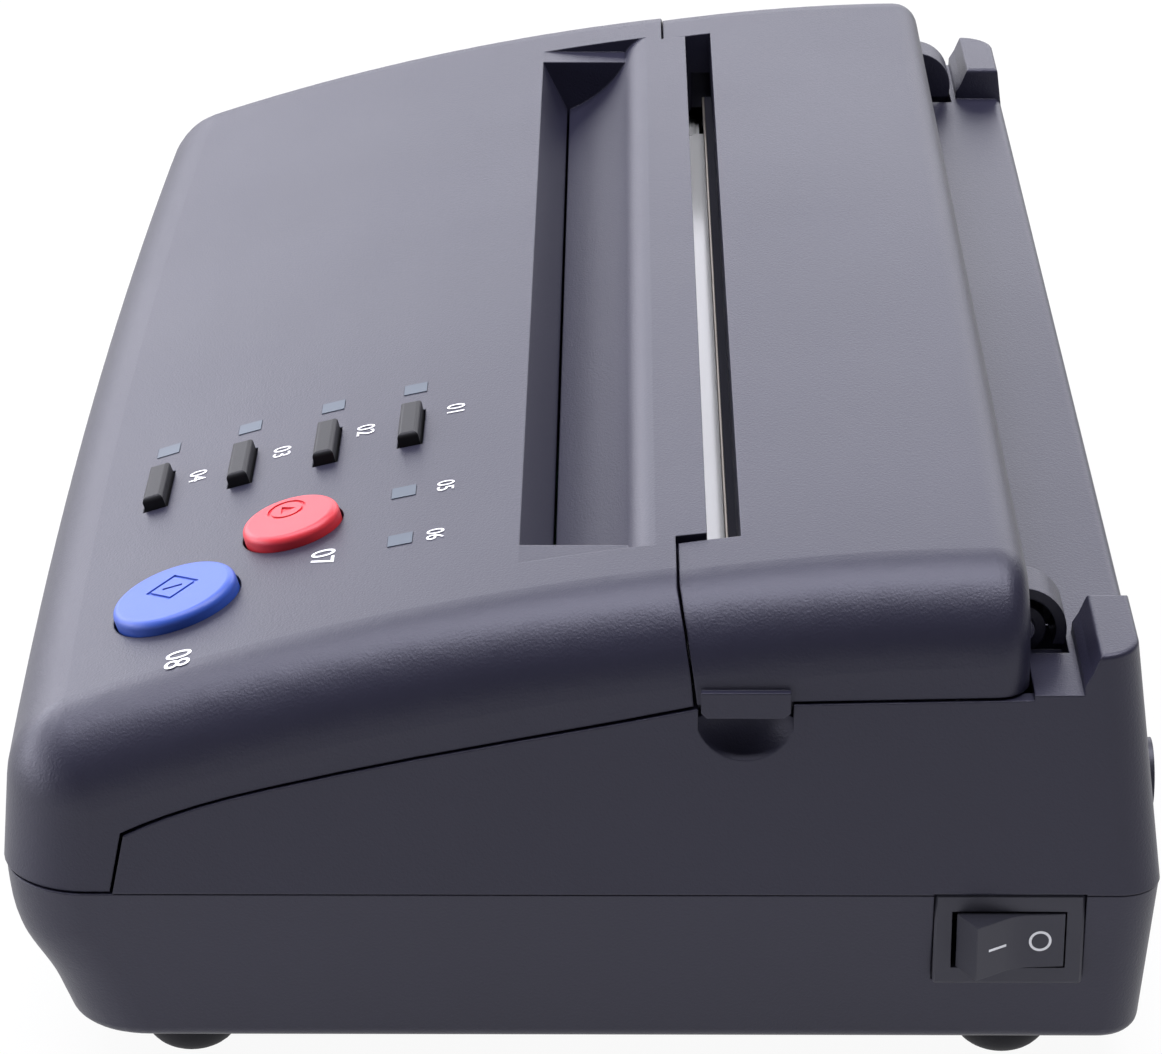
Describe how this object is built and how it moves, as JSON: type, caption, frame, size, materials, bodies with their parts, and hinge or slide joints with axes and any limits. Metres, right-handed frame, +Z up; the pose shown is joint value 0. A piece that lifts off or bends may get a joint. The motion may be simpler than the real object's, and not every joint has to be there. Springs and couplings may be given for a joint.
{
  "type": "thermal stencil copier",
  "caption": "Desktop thermal stencil copier: crowned case with a sheet feed recess, push buttons, side power rocker and a hinged lid over its feed rollers.",
  "frame": {"origin": "on the table under the middle of the machine", "axes": "+X to the right-hand side with the power rocker, +Y to the back, +Z up"},
  "size_m": [0.2748, 0.1648, 0.077],
  "materials": {
    "charcoal_plastic": "fine-grained moulded ABS",
    "black_rubber": "matt",
    "blue_plastic": "satin moulded",
    "red_plastic": "satin moulded",
    "button_plastic": "satin moulded",
    "lens_plastic": "frosted",
    "circuit_board": "solder resist",
    "component_plastic": "moulded",
    "lamp_plastic": "clear resin",
    "steel_sheet": "zinc-plated sheet",
    "white_plastic": "moulded",
    "bush_plastic": "acetal",
    "bright_steel": "ground",
    "roller_rubber": "ground",
    "gear_plastic": "acetal",
    "brass": "cut",
    "motor_steel": "plated can",
    "sensor_glass": "polished",
    "aluminium": "extruded",
    "ceramic": "ground",
    "spring_steel": "drawn wire",
    "screw_steel": "zinc-plated",
    "switch_plastic": "moulded nylon",
    "terminal_metal": "tinned"
  },
  "bodies": {
    "chassis": {"base_shell": "charcoal_plastic", "board_lamps": "lamp_plastic", "board_screws": "screw_steel", "body_casing": "charcoal_plastic", "case_screws": "screw_steel", "chassis_pan": "steel_sheet", "error_lens": "lens_plastic", "feed_motor": "motor_steel", "frame_screws": "screw_steel", "front_cover": "charcoal_plastic", "hinge_pins": "bright_steel", "idler_stud": "bright_steel", "key_board": "circuit_board", "key_switches": "component_plastic", "left_side_plate": "steel_sheet", "main_board": "circuit_board", "main_board_parts": "component_plastic", "mode_lens_1": "lens_plastic", "mode_lens_2": "lens_plastic", "mode_lens_3": "lens_plastic", "mode_lens_4": "lens_plastic", "platen_roller_bushes": "bush_plastic", "power_board": "circuit_board", "power_board_parts": "component_plastic", "power_inlet": "switch_plastic", "power_lens": "lens_plastic", "right_side_plate": "steel_sheet", "rubber_feet": "black_rubber", "scan_roller_bushes": "bush_plastic", "switch_housing": "switch_plastic", "switch_terminals": "terminal_metal", "white_backing_bar": "white_plastic"},
    "lid": {"lid_shell": "charcoal_plastic", "head_plate": "steel_sheet", "image_sensor": "component_plastic", "sensor_glass": "sensor_glass", "print_head_heatsink": "aluminium", "print_head_heater": "ceramic", "sensor_springs": "spring_steel", "print_head_springs": "spring_steel", "head_screws": "screw_steel"},
    "scan_roller": {"scan_roller_shaft": "bright_steel", "scan_roller_rubber": "roller_rubber", "scan_roller_gear": "gear_plastic"},
    "platen_roller": {"platen_roller_shaft": "bright_steel", "platen_roller_rubber": "roller_rubber", "platen_roller_gear": "gear_plastic"},
    "idler": {"idler_gear": "gear_plastic"},
    "motor_rotor": {"motor_pinion": "brass", "motor_shaft": "bright_steel"},
    "rocker": {"power_rocker": "switch_plastic"},
    "copy_key": {"copy_button": "blue_plastic"},
    "stop_key": {"stop_button": "red_plastic"},
    "mode_key_1": {"mode_button_1": "button_plastic"},
    "mode_key_2": {"mode_button_2": "button_plastic"},
    "mode_key_3": {"mode_button_3": "button_plastic"},
    "mode_key_4": {"mode_button_4": "button_plastic"}
  },
  "joints": [
    {"name": "lid_hinge", "type": "hinge", "parent": "chassis", "child": "lid", "pos_m": [0, 0.0619, 0.064], "axis": [-1, 0, 0], "range_deg": [0, 70]},
    {"name": "platen_roller_spin", "type": "hinge", "parent": "chassis", "child": "platen_roller", "pos_m": [0, 0.0515, 0.0498], "axis": [1, 0, 0], "continuous": true},
    {"name": "scan_roller_spin", "type": "hinge", "parent": "chassis", "child": "scan_roller", "pos_m": [0, 0.0325, 0.0498], "axis": [1, 0, 0], "continuous": true},
    {"name": "idler_spin", "type": "hinge", "parent": "chassis", "child": "idler", "pos_m": [0, 0.042, 0.03311], "axis": [1, 0, 0], "continuous": true},
    {"name": "motor_spin", "type": "hinge", "parent": "chassis", "child": "motor_rotor", "pos_m": [0, 0.02577, 0.02877], "axis": [1, 0, 0], "continuous": true},
    {"name": "power_rocker_tilt", "type": "hinge", "parent": "chassis", "child": "rocker", "pos_m": [0.1309, 0.0606, 0.0239], "axis": [0, 0, -1], "range_deg": [0, 36.4]},
    {"name": "copy_button_press", "type": "slide", "parent": "chassis", "child": "copy_key", "axis": [0, 0.2923, -0.9563], "range_m": [0, 0.001], "stiffness_N_per_m": 300, "springref_m": -0.0005},
    {"name": "stop_button_press", "type": "slide", "parent": "chassis", "child": "stop_key", "axis": [0, 0.2542, -0.9671], "range_m": [0, 0.001], "stiffness_N_per_m": 300, "springref_m": -0.0005},
    {"name": "mode_button_1_press", "type": "slide", "parent": "chassis", "child": "mode_key_1", "axis": [0, 0.2147, -0.9767], "range_m": [0, 0.001], "stiffness_N_per_m": 300, "springref_m": -0.0005},
    {"name": "mode_button_2_press", "type": "slide", "parent": "chassis", "child": "mode_key_2", "axis": [0, 0.2459, -0.9693], "range_m": [0, 0.001], "stiffness_N_per_m": 300, "springref_m": -0.0005},
    {"name": "mode_button_3_press", "type": "slide", "parent": "chassis", "child": "mode_key_3", "axis": [0, 0.2777, -0.9607], "range_m": [0, 0.001], "stiffness_N_per_m": 300, "springref_m": -0.0005},
    {"name": "mode_button_4_press", "type": "slide", "parent": "chassis", "child": "mode_key_4", "axis": [0, 0.3089, -0.9511], "range_m": [0, 0.001], "stiffness_N_per_m": 300, "springref_m": -0.0005}
  ],
  "couplings": [
    {"joint": "scan_roller_spin", "follows": "platen_roller_spin", "ratio": 1},
    {"joint": "idler_spin", "follows": "platen_roller_spin", "ratio": -0.71429},
    {"joint": "motor_spin", "follows": "platen_roller_spin", "ratio": 1.4286}
  ]
}
